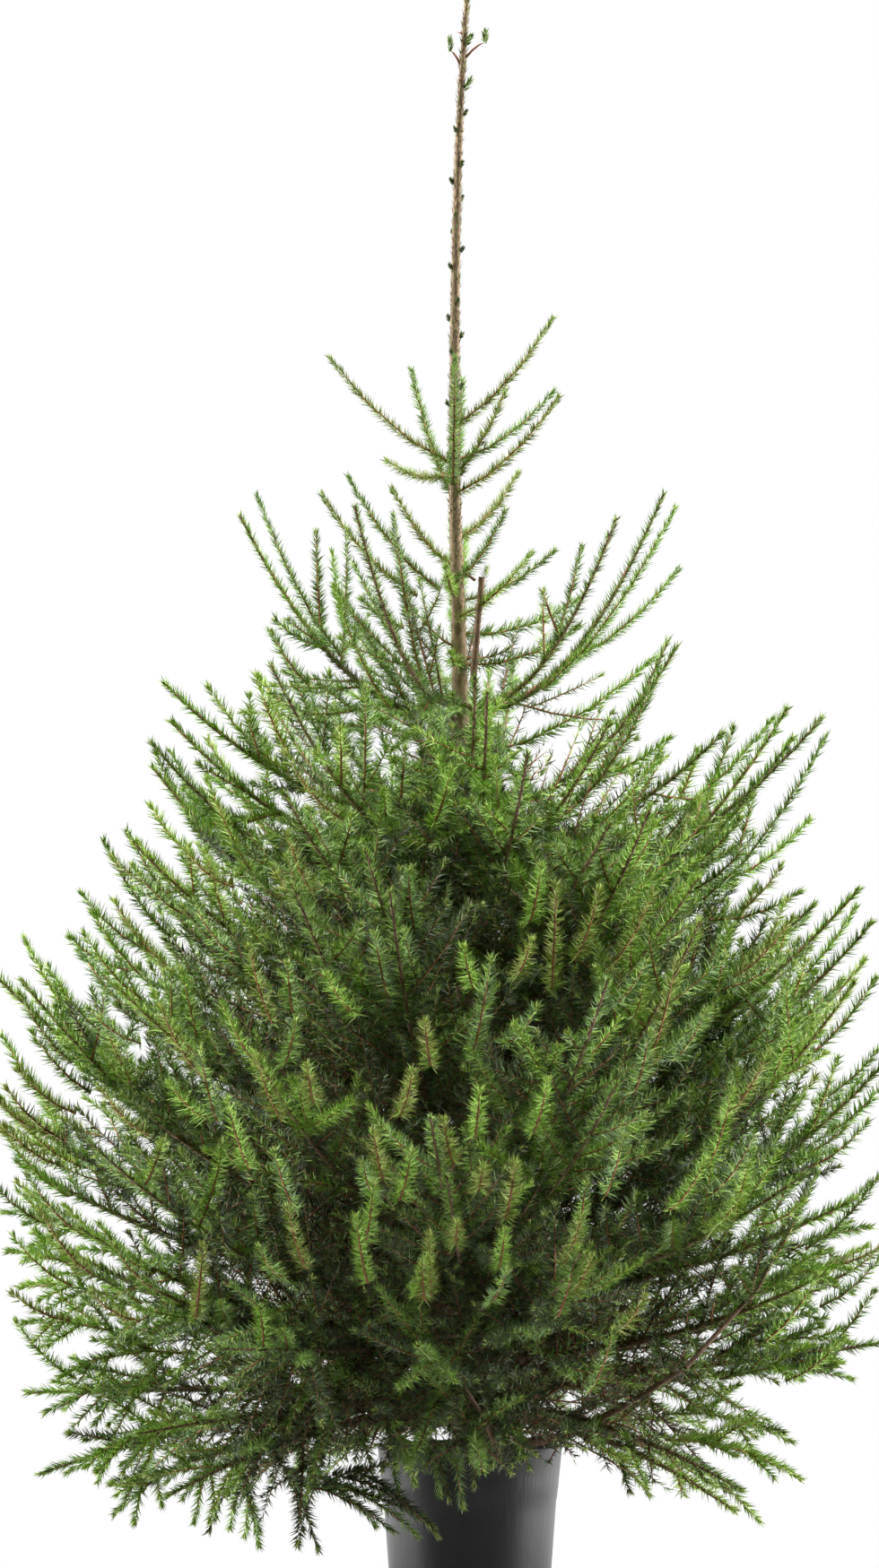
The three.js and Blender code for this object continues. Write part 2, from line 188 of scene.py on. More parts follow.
# Small shoots straight from the upper trunk: heights, step, length low and high, and slope
UPPER_HEIGHTS = (0.93, 1.20)
UPPER_STEP = 0.007
UPPER_LENGTH = (0.230, 0.090)
UPPER_VARY = (0.6, 1.1)
UPPER_SLOPE = 25
UPPER_JITTER = 20

# Finer shoots along each parent: spacing, first place, unbranched end, share of the parent's rest,
# least and most length, angle, roll up and down, radii
Rule = namedtuple("Rule", "spacing first leading share least most angle roll_up roll_down root tip")
TWIG_RULE = Rule(0.022, 0.050, 0.075, 0.50, 0.055, 0.200, 52, 45, 25, 0.0019, 0.0009)
SECOND_RULE = Rule(0.024, 0.016, 0.060, 0.50, 0.045, 0.105, 52, 40, 25, 0.0012, 0.0008)
THIRD_RULE = Rule(0.030, 0.014, 0.050, 0.45, 0.030, 0.060, 50, 40, 30, 0.0010, 0.0007)
LOW_RULE = Rule(0.017, 0.014, 0.030, 0.40, 0.035, 0.070, 48, 40, 30, 0.0012, 0.0008)
GROWTH_SEED = 23
PLACE_JITTER = 0.7
ANGLE_JITTER = 16
LENGTH_JITTER = 0.35
TWIG_RINGS = 3
TWIG_SIDES = 3
# The uppermost and lowest sprays lie in no plane
LOOSE_TIER = 4
LOOSE_ROLL = 85
# How much a shoot bends up over its length, by tier from the top down, and where it hangs
RISE = [0.30, 0.30, 0.20, 0.20, 0.22, 0.24, 0.24, 0.22, 0.18, 0.12, 0.04, -0.12]
HANGING = -0.16
# Share of it at the root, its spread, and the share by which a shoot turns along its parent
RISE_AT_ROOT = 0.4
RISE_VARY = (0.4, 1.2)
TURN_ALONG = 0.10

# Shoots stay above these heights: before and behind the pot, left of it, and right of it
CLEAR_HEIGHT = 0.205
CLEAR_WIDTH = 0.19
LOWEST_LEFT = 0.11
LOWEST_RIGHT = 0.165

# The crown's body as (height, radius) about an axis a little left of the pot's
CROWN_SHIFT = -0.036
CROWN_OUTLINE = [
    (0.08, 0.30), (0.13, 0.40), (0.23, 0.465), (0.45, 0.530), (0.66, 0.540), (0.75, 0.495),
    (0.90, 0.430), (1.00, 0.360), (1.06, 0.305), (1.16, 0.225), (1.25, 0.180), (1.40, 0.150),
]
# A shoot that would leave it is tried at these shares of its length
TWIG_TRIES = (1.0, 0.75, 0.5)

# Kinds of shoot: a limb, a side shoot, one that stands out of the crown, a limb's end, and a dead twig
LIMB, SIDE, ROUND, LEADING, DEAD = range(5)
Foliage = namedtuple("Foliage", "shoots kind zone count colour")

# Needles: number, size, fan to each side, and lean in degrees at a shoot's root and tip
NEEDLE_TOTAL = 760000
NEEDLE_LENGTH = 0.0172
NEEDLE_WIDTH = 0.0020
NEEDLE_VARY = (0.75, 1.1)
NEEDLE_FAN = 2.6
SHOOT_LEAN = (66, 36)
NEEDLE_LEANS = {LIMB: SHOOT_LEAN, SIDE: SHOOT_LEAN, ROUND: SHOOT_LEAN, LEADING: (56, 28)}
LEAN_POWER = 4
LEAN_JITTER = 12
# They start inside the bark, at a share of its radius, and are shorter at the shoot's tip
NEEDLE_SEAT = 0.8
TIP_SHORTER = 0.3
TIP_POWER = 6
# Needles a metre of shoot, by how far out in the crown the shoot ends
ZONES = [0.30, 0.60, 0.85]
ZONE_NEEDLES = [130, 600, 1500]
# The upper tiers have more and finer needles, and the lowest have shorter ones
FINE_TIER = 3
TOP_SHARE = 1.7
TOP_NEEDLE = 0.0125
TOP_WIDTH = 0.0014
LOW_TIER = 9
LOW_NEEDLE = 0.0150
# Tufts at the tips of outer shoots
TUFT_ZONE = 0.70
TUFT_NEEDLES = 16
TUFT_LENGTH = 0.0115
TUFT_LEAN = (70, 20)
TUFT_SHARES = (0.94, 1.0)

# The leader's needles, in short lengths with a number for the lowest and the topmost
LEADER_FROM = 1.12
LEADER_PIECES = 44
LEADER_LEAN = (22, 26)
LEADER_NEEDLE = 0.0100
LEADER_NEEDLES = (92, 28)
# They are green up to a length and fade over more of them. A share takes its length's own colour
LEADER_GREEN = 8
LEADER_FADING = 24
LEADER_PATCH = 0.55

NEEDLE_COLOURS = {
    "fresh": (0.420, 0.500, 0.140),
    "light": (0.320, 0.495, 0.082),
    "grass": (0.228, 0.395, 0.054),
    "mid": (0.156, 0.250, 0.056),
    "deep": (0.064, 0.088, 0.040),
    "blue": (0.185, 0.295, 0.108),
    "olive": (0.240, 0.270, 0.058),
    "rust": (0.260, 0.105, 0.045),
    "straw": (0.460, 0.375, 0.200),
}
COLOUR_NAMES = list(NEEDLE_COLOURS)
# Palettes from which sprays are dealt colours, a repeated name more often
INNER_GREENS = ("deep", "deep", "deep", "mid")
MIDDLE_GREENS = ("mid", "mid", "grass", "deep", "deep", "blue", "blue")
OUTER_GREENS = ("grass", "mid", "grass", "light", "blue")
TOP_GREENS = ("olive", "olive", "mid", "blue")
ROUND_GREENS = ("olive", "blue", "mid", "grass", "olive")
LEADER_LOW = ("olive", "mid", "olive", "straw", "straw", "deep")
LEADER_HIGH = ("straw", "straw", "olive", "rust", "mid")
LEADER_PATCHES = ("straw", "olive", "olive", "mid")
LARGE_BUD_GREENS = ("olive", "mid", "grass")
SMALL_BUD_GREENS = ("deep", "mid", "deep", "olive")
TUFT_COLOUR = "fresh"
TOP_TUFT = "grass"
# Some needles of a spray are a step lighter than the rest
LIGHTER = {
    "deep": "mid", "mid": "grass", "grass": "light", "light": "fresh", "blue": "light", "olive": "grass",
}
LIGHTER_SHARE = 0.30
# Where the inner greens end and the outer ones begin
ZONE_JITTER = 0.06
INNER_END = 0.70
OUTER_START = 0.93
# The top tiers are muted. Painted shade: the lowest tiers and a band through the crown's middle across X
# are dealt darker colours, as if they stood further in
TOP_TIER = 2
LOW_PAINTED_SHADE = 0.10
MIDDLE_SHADE_WIDTH = 0.27
MIDDLE_PAINTED_SHADE = 0.28
LEADING_LIGHTER = 0.10
# A few inner sprays of the lowest tiers are rusty
RUST_TIER = 10
RUST_ZONE = 0.65
RUST_SHARE = 0.04

# Shoots placed one by one bow by a share of their length
BOW = 0.09
PLACED_RADII = (0.0022, 0.0012)
# Shoots that stand against the sky: root and tip in the photograph's pixels, depth in metres
SKY_SHOOTS = [
    (504, 517, 367, 398, 0.02), (504, 530, 429, 511, 0.09), (504, 550, 458, 408, 0.12),
    (505, 540, 507, 403, -0.12), (508, 475, 617, 355, 0), (508, 530, 565, 434, 0.03),
    (508, 514, 619, 433, 0.07), (508, 551, 623, 445, -0.07), (508, 602, 579, 524, 0.1),
    (508, 648, 563, 571, -0.1), (508, 634, 436, 542, 0.08), (490, 658, 388, 533, -0.06),
    (465, 665, 357, 549, 0.05), (473, 767, 439, 577, -0.15), (506, 530, 516, 418, 0.14),
    (506, 660, 497, 632, -0.08), (506, 690, 520, 590, 0.15), (380, 732, 286, 552, 0),
    (358, 697, 352, 593, -0.02), (437, 793, 372, 656, -0.12), (450, 700, 402, 668, 0.04),
    (360, 722, 306, 690, 0.06), (345, 765, 303, 705, -0.05), (330, 795, 287, 754, 0.08),
    (610, 737, 648, 610, -0.06), (605, 770, 754, 565, 0), (632, 738, 758, 634, 0.03),
    (508, 672, 620, 612, 0.06), (508, 690, 592, 618, -0.08), (508, 706, 645, 668, 0.09),
    (510, 742, 646, 699, -0.09), (512, 846, 733, 731, 0.08), (644, 896, 730, 760, -0.08),
    (320, 862, 231, 765, 0), (322, 838, 287, 754, -0.1), (300, 842, 276, 790, 0.09),
    (245, 950, 174, 840, -0.05), (262, 946, 189, 838, 0.06), (300, 996, 233, 868, -0.14),
    (215, 956, 165, 898, 0.1), (190, 1046, 115, 937, 0), (212, 1026, 139, 927, 0.08),
    (178, 1102, 103, 1014, -0.08), (106, 1162, 26, 1046, 0), (152, 1134, 86, 1062, 0.12),
    (82, 1184, 25, 1106, -0.1), (68, 1240, 0, 1156, 0.05), (656, 866, 748, 823, 0.05),
    (628, 948, 736, 836, -0.15), (757, 890, 777, 836, -0.04), (790, 880, 819, 810, 0.06),
    (722, 924, 862, 801, 0), (784, 1004, 922, 820, 0), (816, 962, 838, 887, -0.06),
    (800, 986, 906, 914, 0.08), (790, 1026, 890, 994, -0.08), (856, 1122, 955, 1012, 0),
    (808, 1182, 936, 1090, -0.12), (892, 1186, 979, 1092, 0.06), (75, 1336, 0, 1262, 0.06),
    (92, 1300, 4, 1222, -0.1), (905, 1232, 980, 1172, 0.02), (880, 1292, 942, 1254, -0.06),
    (898, 1394, 980, 1312, 0), (800, 1474, 905, 1300, -0.22),
]
# Share of its depth at which such a shoot starts, less within a distance of the trunk
SKY_ROOT = 0.6
NEAR_TRUNK = 0.25
# Shoots on the side in view that point at the camera and up, in the same pixels
FRONT_SHOOTS = [
    (437, 1111, 420, 1034), (447, 1036, 459, 965), (528, 1096, 516, 1049), (523, 1175, 545, 1061),
    (402, 1124, 368, 1079), (309, 1134, 284, 1049), (331, 1120, 326, 1066), (321, 1178, 336, 1128),
    (319, 1212, 255, 1111), (356, 1218, 348, 1175), (481, 1178, 474, 1128), (560, 1155, 595, 1113),
    (481, 922, 503, 857), (567, 1002, 550, 845), (446, 900, 452, 835), (383, 914, 321, 840),
    (353, 994, 324, 926), (368, 1034, 329, 983), (612, 1096, 616, 982), (636, 1066, 664, 986),
    (668, 1082, 722, 992), (718, 1174, 746, 1066), (676, 1116, 714, 1066), (742, 1176, 778, 1120),
    (588, 1024, 600, 962), (640, 1010, 708, 932), (410, 1367, 420, 1300), (446, 1322, 460, 1267),
    (553, 1395, 560, 1350), (462, 1424, 477, 1380), (668, 1318, 687, 1250), (636, 1364, 647, 1300),
    (347, 1396, 327, 1327), (336, 1334, 313, 1267), (542, 1432, 563, 1393), (628, 1424, 653, 1380),
    (250, 1240, 232, 1160), (286, 1290, 262, 1212), (590, 1250, 606, 1190), (506, 1282, 494, 1232),
    (780, 1290, 806, 1204), (226, 1452, 236, 1368), (700, 1210, 716, 1140), (446, 1232, 462, 1180),
]
# They end outside the crown by a factor, and start a step further in
FRONT_OUT = 1.03
FRONT_STEP = 0.075
FRONT_WIDEST = 0.98
# More such shoots all round: how many, between which heights, and how far they rise
ROUND_COUNT = 130
ROUND_HEIGHTS = (0.36, 1.02)
ROUND_DROP = (0.03, 0.09)
# Low sprays with side shoots: root, tip, and depth of both
LOW_SPRAYS = [
    (150, 1410, 3, 1352, 0), (150, 1462, 18, 1440, 0.08), (160, 1450, 12, 1392, -0.1),
    (170, 1506, 26, 1476, 0), (830, 1434, 975, 1372, 0.08), (810, 1450, 945, 1412, -0.08),
    (800, 1518, 950, 1500, 0.04), (800, 1536, 948, 1536, -0.06), (740, 1580, 885, 1612, 0.04),
    (740, 1602, 890, 1646, -0.08), (760, 1630, 847, 1698, 0), (210, 1510, 66, 1536, 0),
    (190, 1546, 48, 1580, 0.06), (220, 1590, 76, 1640, -0.06), (250, 1620, 126, 1690, 0),
    (395, 1628, 488, 1702, -0.2), (330, 1640, 440, 1694, -0.24), (505, 1596, 514, 1668, -0.22),
    (262, 1610, 292, 1714, -0.18), (318, 1630, 356, 1722, -0.12), (440, 1570, 462, 1640, -0.26),
    (560, 1560, 548, 1622, -0.24), (650, 1600, 722, 1662, -0.1), (236, 1620, 216, 1702, 0.05),
    (172, 1610, 150, 1700, 0), (480, 1592, 500, 1660, -0.22), (430, 1572, 444, 1650, -0.2),
    (470, 1585, 490, 1656, -0.19), (400, 1580, 416, 1640, -0.14), (535, 1580, 528, 1644, -0.24),
    (360, 1650, 470, 1684, -0.18), (345, 1630, 420, 1690, -0.2), (372, 1632, 484, 1692, -0.21),
    (362, 1640, 466, 1702, -0.19),
]
# Dead twigs under the crown and at the leader's tip: root, tip, and depth of the tip
DEAD_TWIGS = [
    (500, 1570, 285, 1612, -0.16), (505, 1562, 305, 1586, -0.1), (500, 1580, 330, 1606, -0.22),
    (505, 1575, 268, 1598, -0.04), (490, 1560, 395, 1540, -0.24), (540, 1580, 770, 1620, -0.06),
    (545, 1570, 700, 1590, 0.1), (500, 1560, 350, 1575, 0.16), (536, 1604, 606, 1588, -0.06),
    (536, 1600, 598, 1574, -0.03), (536, 1608, 614, 1602, -0.08), (536, 1598, 584, 1566, -0.05),
    (536, 1606, 592, 1597, -0.02), (536, 1602, 640, 1586, -0.07), (513, 72, 502, 56, 0),
    (520, 64, 541, 47, 0), (522, 42, 509, 36, 0),
]
# The broken top, its stub, a long low bough and a thin stem, from point to point: place in the same
# pixels, depth and radius
BARE_WOOD = [
    [(527, 762, -0.03, 0.0042), (537, 644, -0.03, 0.0036)],
    [(530, 648, -0.03, 0.0020), (519, 640, -0.03, 0.0014)],
    [
        (530, 1612, -0.01, 0.0068), (560, 1611, -0.06, 0.0064), (632, 1594, -0.12, 0.0056),
        (690, 1562, -0.16, 0.0036), (760, 1516, -0.20, 0.0031), (840, 1430, -0.17, 0.0026),
        (895, 1320, -0.20, 0.0016),
    ],
    [(499, 1506, -0.30, 0.0030), (541, 1570, -0.28, 0.0034), (556, 1612, -0.27, 0.0036)],
]
# Places where the photograph shows sky: centre and radius in its pixels, and the shares of the shoots
# and of their needles that are kept
OPEN_PLACES = [
    (520, 650, 120, 0.5, 0.5), (680, 790, 120, 0.22, 0.3), (350, 800, 95, 0.8, 0.8),
    (760, 890, 60, 0.6, 0.6), (790, 1570, 140, 0.62, 0.62), (690, 1650, 90, 0.62, 0.6),
    (190, 1600, 110, 0.88, 0.8), (60, 1330, 110, 0.7, 0.7), (288, 870, 60, 0.2, 1),
    (205, 1010, 55, 0.5, 1), (110, 1110, 60, 0.7, 1), (705, 650, 75, 0.4, 1),
]

# Buds at the tips of the leader's two twigs: place in the photograph's pixels, and length
TWIG_BUDS = [(502, 58, 0.017), (541, 49, 0.016)]
# Two large buds on the leader: height, bearing and length
LARGE_BUDS = [(1.938, -25, 0.013), (1.882, -5, 0.016)]
# Small buds below them: the lowest and highest, step and length
BUD_HEIGHTS = (1.410, 1.870)
BUD_STEP = 0.021
BUD_LENGTH = 0.008
# All buds: how far they point out, radii, and their scales' number, lean and share of the length
BUD_OUT = 0.6
BUD_RADII = (0.0012, 0.0008)
BUD_SCALES = 46
BUD_LEAN = (34, 4)
BUD_SHARE = 0.6


def from_photo(across, down, depth):
    """Places of the photograph's pixels, at depths behind the trunk's plane."""
    place = ((across - AXIS_PIXEL) * PIXEL, depth, (FLOOR_PIXEL - down) * PIXEL)
    return np.stack(np.broadcast_arrays(*place), axis=-1)


def ends_of(table, share):
    """Roots and tips of a table's shoots. The roots stand at a share of the tips' depth."""
    *pixels, depth = np.array(table).T
    return from_photo(*pixels[:2], share * depth), from_photo(*pixels[2:], depth)


def seeded(seed):
    """Repeatable numbers from 0 to 1 by the solids' multiply and remainder rule."""
    while True:
        seed = seed * SEED_FACTOR % SEED_RANGE
        yield seed / SEED_RANGE


def spread(draws, amount):
    return (2 * next(draws) - 1) * amount


def unit(vectors):
    return vectors / np.linalg.norm(vectors, axis=-1, keepdims=True)


def square_to(vectors, axes):
    """The part of each vector at right angles to its axis, at unit length."""
    return unit(vectors - np.sum(vectors * axes, axis=-1, keepdims=True) * axes)


def column(values):
    return np.asarray(values)[:, None]


def level(bearing):
    """Level directions at bearings in radians."""
    return np.stack([np.cos(bearing), np.sin(bearing), np.zeros(len(bearing))], axis=1)


def trunk_offset(height):
    """The trunk leans left up to the top whorl, and the leader curves back."""
    below = np.clip((height - TRUNK_FOOT) / (WHORL_HEIGHT - TRUNK_FOOT), 0, 1)
    above = np.clip((height - WHORL_HEIGHT) / (LEADER_TIP - WHORL_HEIGHT), 0, 1)
    return TRUNK_LEAN * below**2 + LEADER_RETURN * above**3


def on_trunk(height):
    return np.stack([trunk_offset(height), np.zeros(len(height)), height], axis=1)


def trunk_radius(height):
    flare = FLARE * np.exp((TRUNK_FOOT - height) / FLARE_HEIGHT)
    heights = [TRUNK_FOOT, WHORL_HEIGHT, LEADER_TIP]
    return flare + np.interp(height, heights, [TRUNK_RADIUS, WHORL_RADIUS, LEADER_TIP_RADIUS])


def crown_radius(height):
    heights, radii = zip(*CROWN_OUTLINE)
    return np.interp(height, heights, radii)


def zone_of(points):
    """How far out in the crown points are, from 0 at its axis to 1 at its outline."""
    return np.hypot(points[:, 0] - CROWN_SHIFT, points[:, 1]) / crown_radius(points[:, 2])


class Shoots:
    """Many curved shoots as arrays. A point at share t of one is start + run * t + bend * t * t."""

    FIELDS = "start run bend back length root tip tier rise".split()

    def __init__(self, length, **fields):
        """Takes one number for all the shoots, or an array, for the radii, tier and rise."""
        self.length = length
        for name, value in fields.items():
            setattr(self, name, value if np.ndim(value) else np.full(len(length), value))

    def __len__(self):
        return len(self.length)

    def at(self, owner, share):
        """Points and directions at shares of the owners' lengths."""
        t = column(share)
        point = self.start[owner] + self.run[owner] * t + self.bend[owner] * t * t
        return point, unit(self.run[owner] + 2 * self.bend[owner] * t)

    def ends(self):
        return self.start + self.run + self.bend

    def part(self, which):
        return Shoots(**{name: getattr(self, name)[which] for name in self.FIELDS})

    def section(self, low, high):
        """The stretch of each shoot between two shares of its length."""
        low, span = column(low), column(high - low)
        thinner = self.tip - self.root
        return Shoots(
            start=self.start + self.run * low + self.bend * low**2,
            run=(self.run + 2 * self.bend * low) * span, bend=self.bend * span**2, back=self.back,
            length=self.length * span[:, 0], root=self.root + thinner * low[:, 0],
            tip=self.root + thinner * (low + span)[:, 0], tier=self.tier, rise=self.rise,
        )

    @classmethod
    def joined(cls, groups):
        return cls(**{name: np.concatenate([getattr(g, name) for g in groups]) for name in cls.FIELDS})

    @classmethod
    def through(cls, first, middle, last, root, tip, tier=1, rise=0.0, back=None):
        """Shoots through three points each, with their backs turned up unless given."""
        run = 4 * middle - 3 * first - last
        bend = 2 * first + 2 * last - 4 * middle
        length = np.linalg.norm(middle - first, axis=1) + np.linalg.norm(last - middle, axis=1)
        if back is None:
            back = square_to(np.broadcast_to(UP, run.shape), unit(run + bend))
        return cls(
            start=first, run=run, bend=bend, back=np.broadcast_to(back, run.shape), length=length,
            root=root, tip=tip, tier=tier, rise=rise,
        )


def limbs_of(tier, number, first_seed=1):
    """A tier's limbs by the solids' rule, turning up towards the tip."""
    lines = []
    for index in range(tier.count):
        draws = seeded(TIER_SEED * number + BRANCH_SEED * (index + first_seed))
        # The solids skip the first number
        next(draws)
        bearing = math.radians(tier.bearing + 360 * index / tier.count + spread(draws, BEARING_JITTER))
        reach = tier.reach * (1 - tier.left * math.cos(bearing)) * (1 + spread(draws, REACH_JITTER))
        lift = tier.lift + spread(draws, tier.vary)
        height = tier.height + spread(draws, HEIGHT_JITTER * tier.reach)
        sway = spread(draws, SWAY)
        out = np.array([math.cos(bearing), math.sin(bearing), 0.0])
        aside = np.cross(UP, out)
        root = np.array([trunk_offset(height), 0.0, height])
        lines.append([
            root + out * reach * t + aside * sway * reach * t**2 + UP * lift * t**BEND_POWER
            for t in (0, 0.5, 1)
        ])
    first, middle, last = np.array(lines).transpose(1, 0, 2)
    index = np.arange(tier.count)
    hangs = (tier.lift < 0) | ((number >= HANG_FROM_TIER) & (index % 2 == 0))
    rise = np.where(hangs, HANGING, RISE[number - 1])
    return Shoots.through(first, middle, last, tier.root, STEM_TIP, number, rise)


def between(upper, lower):
    """A tier of lesser limbs between two tiers, turned by half a step."""
    tier = Tier(*[(a + b) / 2 for a, b in zip(upper, lower)])
    bearing = upper.bearing + 180 / upper.count
    reach = BETWEEN_REACH * tier.reach
    return tier._replace(count=BETWEEN_COUNT, bearing=bearing, reach=reach, vary=BETWEEN_VARY)


def all_limbs():
    """The limbs of the tiers, and the lesser ones between them."""
    limbs = [limbs_of(tier, number) for number, tier in enumerate(TIERS, 1) if number >= LIMBS_FIRST]
    for number in range(BETWEEN_FIRST, len(TIERS)):
        tier = between(TIERS[number - 1], TIERS[number])
        limbs.append(limbs_of(tier, number, tier.count + 1))
    return Shoots.joined(limbs)


def kept_inside(shoots):
    """Shortens shoots that would leave the crown's body, or skips them."""
    kept = np.zeros(len(shoots))
    for scale in TWIG_TRIES:
        ends = shoots.start + shoots.run * scale + shoots.bend * scale**2
        lowest = np.where(ends[:, 0] < 0, LOWEST_LEFT, LOWEST_RIGHT)
        lowest = np.where(np.abs(ends[:, 0]) < CLEAR_WIDTH, CLEAR_HEIGHT, lowest)
        inside = (zone_of(ends) < 1) & (ends[:, 2] > lowest)
        kept = np.where((kept == 0) & inside, scale, kept)
    shoots, kept = shoots.part(kept > 0), kept[kept > 0]
    return shoots.section(np.zeros(len(kept)), kept)


def ranked(count):
    """The group of each thing and its place there, for groups of given numbers."""
    owner = np.repeat(np.arange(len(count)), count)
    return owner, np.arange(len(owner)) - np.repeat(np.cumsum(count) - count, count)


def side_shoots(dice, parents, rule):
    """Finer shoots, alternate along each parent up to its unbranched end."""
    room = np.maximum(parents.length - rule.leading - rule.first, 0)
    owner, step = ranked(np.floor(room / rule.spacing).astype(int))
    total = len(owner)
    along = rule.first + (step + PLACE_JITTER * dice.random(total)) * rule.spacing
    start, tangent = parents.at(owner, along / parents.length[owner])
    back = square_to(parents.back[owner], tangent)
    side = np.where((step + owner) % 2 == 0, 1, -1)
    tier = parents.tier[owner]
    loose = (tier > LOW_TIER) | (tier <= LOOSE_TIER)
    roll_up = np.where(loose, LOOSE_ROLL, rule.roll_up)
    roll_down = np.where(loose, LOOSE_ROLL, rule.roll_down)
    roll = np.radians(dice.uniform(-roll_down, roll_up))
    away = np.cross(tangent, back) * column(side * np.cos(roll)) + back * column(np.sin(roll))
    angle = np.radians(rule.angle + dice.uniform(-ANGLE_JITTER, ANGLE_JITTER, total))
    rise = parents.rise[owner]
    direction = tangent * column(np.cos(angle)) + away * column(np.sin(angle))
    direction += UP * column(RISE_AT_ROOT * rise)
    length = np.minimum(rule.share * (parents.length[owner] - along) + rule.least, rule.most)
    length *= 1 - LENGTH_JITTER * dice.random(total)
    run = unit(direction) * column(length)
    upward = rise * length * dice.uniform(*RISE_VARY, total)
    bend = UP * column(upward) + TURN_ALONG * tangent * column(length)
    return kept_inside(Shoots(
        start=start, run=run, bend=bend, back=square_to(back + UP, unit(run + bend)), length=length,
        root=rule.root, tip=rule.tip, tier=tier, rise=rise,
    ))


def placed_shoots(first, last, bow=BOW, rise=RISE[0]):
    """Shoots bowed below straight lines, each in the tier whose tips are nearest in height."""
    middle = (first + last) / 2 - UP * column(bow * np.linalg.norm(last - first, axis=1))
    tips = np.array([tier.height + tier.lift for tier in TIERS])
    tier = 1 + np.argmin(np.abs(tips[None] - last[:, 2:]), axis=1)
    return Shoots.through(first, middle, last, *PLACED_RADII, tier, rise)


def trunk_shoots(dice):
    """Small shoots all round the upper trunk, shorter towards the leader."""
    height = np.arange(*UPPER_HEIGHTS, UPPER_STEP)
    number = len(height)
    jitter = (-UPPER_JITTER, UPPER_JITTER, number)
    bearing = np.radians(SPIRAL_TURN * np.arange(number) + dice.uniform(*jitter))
    slope = np.radians(UPPER_SLOPE + dice.uniform(*jitter))
    length = np.interp(height, UPPER_HEIGHTS, UPPER_LENGTH)
    length *= dice.uniform(*UPPER_VARY, number)
    first = on_trunk(height)
    direction = level(bearing) * column(np.cos(slope)) + UP * column(np.sin(slope))
    return placed_shoots(first, first + direction * column(length))


def sky_shoots():
    """Shoots of the outline, which start nearer to the trunk's plane than they end."""
    first, last = ends_of(SKY_SHOOTS, 1)
    first[:, 1] *= np.minimum(SKY_ROOT, np.abs(first[:, 0] - TRUNK_LEAN) / NEAR_TRUNK)
    return placed_shoots(first, last)


def front_shoots():
    """Shoots that end just outside the crown's near side, and start a step further in."""
    roots, tips = np.array(FRONT_SHOOTS).T.reshape(2, 2, -1)
    first, last = from_photo(*roots, 0.0), from_photo(*tips, 0.0)
    reach = FRONT_OUT * crown_radius(last[:, 2])
    across = np.clip((last[:, 0] - CROWN_SHIFT) / reach, -FRONT_WIDEST, FRONT_WIDEST)
    last[:, 1] = -reach * np.sqrt(1 - across**2)
    first[:, 1] = last[:, 1] + FRONT_STEP
    return placed_shoots(first, last)


def round_shoots(dice):
    """Shoots all round the crown that end just outside it, pointing out and up."""
    height = dice.uniform(*ROUND_HEIGHTS, ROUND_COUNT)
    out = level(dice.uniform(0, 2 * math.pi, ROUND_COUNT))
    last = out * column(FRONT_OUT * crown_radius(height)) + UP * column(height)
    last[:, 0] += CROWN_SHIFT
    first = last - out * FRONT_STEP - UP * column(dice.uniform(*ROUND_DROP, ROUND_COUNT))
    return placed_shoots(first, last)


def low_sprays(dice):
    """Hanging sprays low on the tree, each with its side shoots."""
    sprays = placed_shoots(*ends_of(LOW_SPRAYS, 1), -BOW, HANGING)
    return Shoots.joined([sprays, side_shoots(dice, sprays, LOW_RULE)])


def dead_twigs(dice):
    """Dead twigs from the trunk outwards, with finer twigs along them."""
    twigs = placed_shoots(*ends_of(DEAD_TWIGS, 0), -BOW)
    return Shoots.joined([twigs, side_shoots(dice, twigs, SECOND_RULE)])


def bare_wood():
    """Limbs without needles, as straight lengths from point to point."""
    *near, root = np.array([point for path in BARE_WOOD for point in path[:-1]]).T
    *far, tip = np.array([point for path in BARE_WOOD for point in path[1:]]).T
    first, last = from_photo(*near), from_photo(*far)
    return Shoots.through(first, (first + last) / 2, last, root, tip)


def leader_shoots():
    """The leader in short lengths, for the needles that lie close along it."""
    ends = np.linspace(LEADER_FROM, LEADER_TIP, LEADER_PIECES + 1)
    points = [on_trunk(height) for height in (ends[:-1], (ends[:-1] + ends[1:]) / 2, ends[1:])]
    radii = [trunk_radius(height) for height in (ends[:-1], ends[1:])]
    return Shoots.through(*points, *radii, back=TO_CAMERA)


def bud_shoots():
    """Short shoots for the buds. Those on the leader point up and out from its bark."""
    small = np.arange(*BUD_HEIGHTS, BUD_STEP)
    rows = [(height, SPIRAL_TURN * index, BUD_LENGTH) for index, height in enumerate(small)]
    height, bearing, length = np.array(LARGE_BUDS + rows).T
    out = level(np.radians(bearing))
    first = on_trunk(height) + out * column(trunk_radius(height))
    last = first + unit(BUD_OUT * out + UP) * column(length)
    across, down, length = np.array(TWIG_BUDS).T
    feet = from_photo(across, down, 0)
    first = np.concatenate([feet, first])
    last = np.concatenate([feet + UP * column(length), last])
    return Shoots.through(first, (first + last) / 2, last, *BUD_RADII, back=TO_CAMERA)


def kept_shares(shoots):
    """Shares of the shoots and of their needles to keep, less in open places."""
    ends = shoots.ends()
    across = AXIS_PIXEL + ends[:, 0] / PIXEL
    down = FLOOR_PIXEL - ends[:, 2] / PIXEL
    kept, needles = np.ones((2, len(shoots)))
    for x, y, radius, shoot_share, needle_share in OPEN_PLACES:
        inside = np.hypot(across - x, down - y) < radius
        kept[inside] = shoot_share
        needles[inside] = needle_share
    return kept, needles


def opened(dice, shoots):
    """Drops some of the shoots that end in an open place."""
    kept, _ = kept_shares(shoots)
    return shoots.part(dice.random(len(shoots)) < kept)


